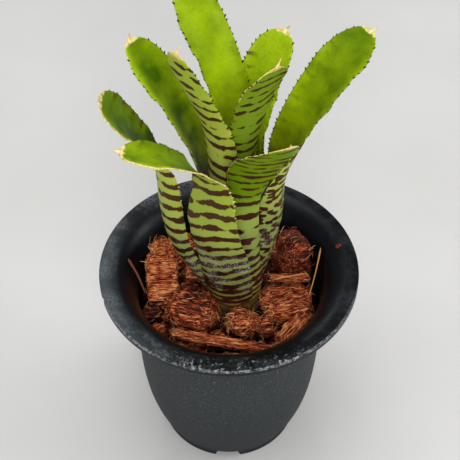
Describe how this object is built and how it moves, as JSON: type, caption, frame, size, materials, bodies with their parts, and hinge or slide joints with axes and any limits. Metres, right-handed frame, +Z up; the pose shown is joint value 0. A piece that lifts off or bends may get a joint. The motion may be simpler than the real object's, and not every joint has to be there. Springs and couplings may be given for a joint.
{
  "type": "potted bromeliad",
  "caption": "Small banded bromeliad with strap leaves growing from a clasping vase, in a flared black nursery pot filled with coconut husk chips.",
  "frame": {"origin": "centre of the pot's foot, on the surface it stands on", "axes": "+Z up along the pot's axis; the plant's two front leaves lean towards -Y and its longest leaf stands at +Y"},
  "size_m": [0.12, 0.12, 0.2415],
  "materials": {
    "pot_plastic": "moulded satin black with light dust",
    "leaf": "smooth waxy leaf, green with dark cross bands outside",
    "husk_chip": "rough, fibrous",
    "husk_bed": "rough, fibrous",
    "stem": "matte",
    "straw": "dry straw"
  },
  "bodies": {
    "root": {"pot": "pot_plastic", "husk_bed": "husk_bed", "stem": "stem", "leaf_front_left": "leaf", "leaf_front_right": "leaf", "leaf_far_left": "leaf", "leaf_right": "leaf", "leaf_back_left": "leaf", "leaf_back_right": "leaf", "leaf_back": "leaf", "leaf_inner_left": "leaf", "leaf_inner_right": "leaf", "chip_upright_left": "husk_chip", "chip_strip_front": "husk_chip", "chip_rim_front": "husk_chip", "chip_diagonal_right": "husk_chip", "chip_flat_right": "husk_chip", "chip_back_left": "husk_chip", "chip_back_mid": "husk_chip", "chip_front_right": "husk_chip", "chip_left_low": "husk_chip", "chip_mid_right": "husk_chip", "chip_under_strip_right": "husk_chip", "chip_under_strip_left": "husk_chip", "chip_rear_right": "husk_chip", "chip_round_left": "husk_chip", "chip_fibrous_front": "husk_chip", "chip_big_right": "husk_chip", "chip_wedge_back_right": "husk_chip", "chip_back": "husk_chip", "chip_back_inner": "husk_chip", "chip_rear_small": "husk_chip", "chip_rear_mid": "husk_chip", "chip_left_gap": "husk_chip", "chip_dark_left": "husk_chip", "chip_small_front": "husk_chip", "chip_front_left": "husk_chip", "straw_right_wall": "straw", "straw_right_chips": "straw", "splinter_left_wall": "straw"}
  },
  "joints": []
}
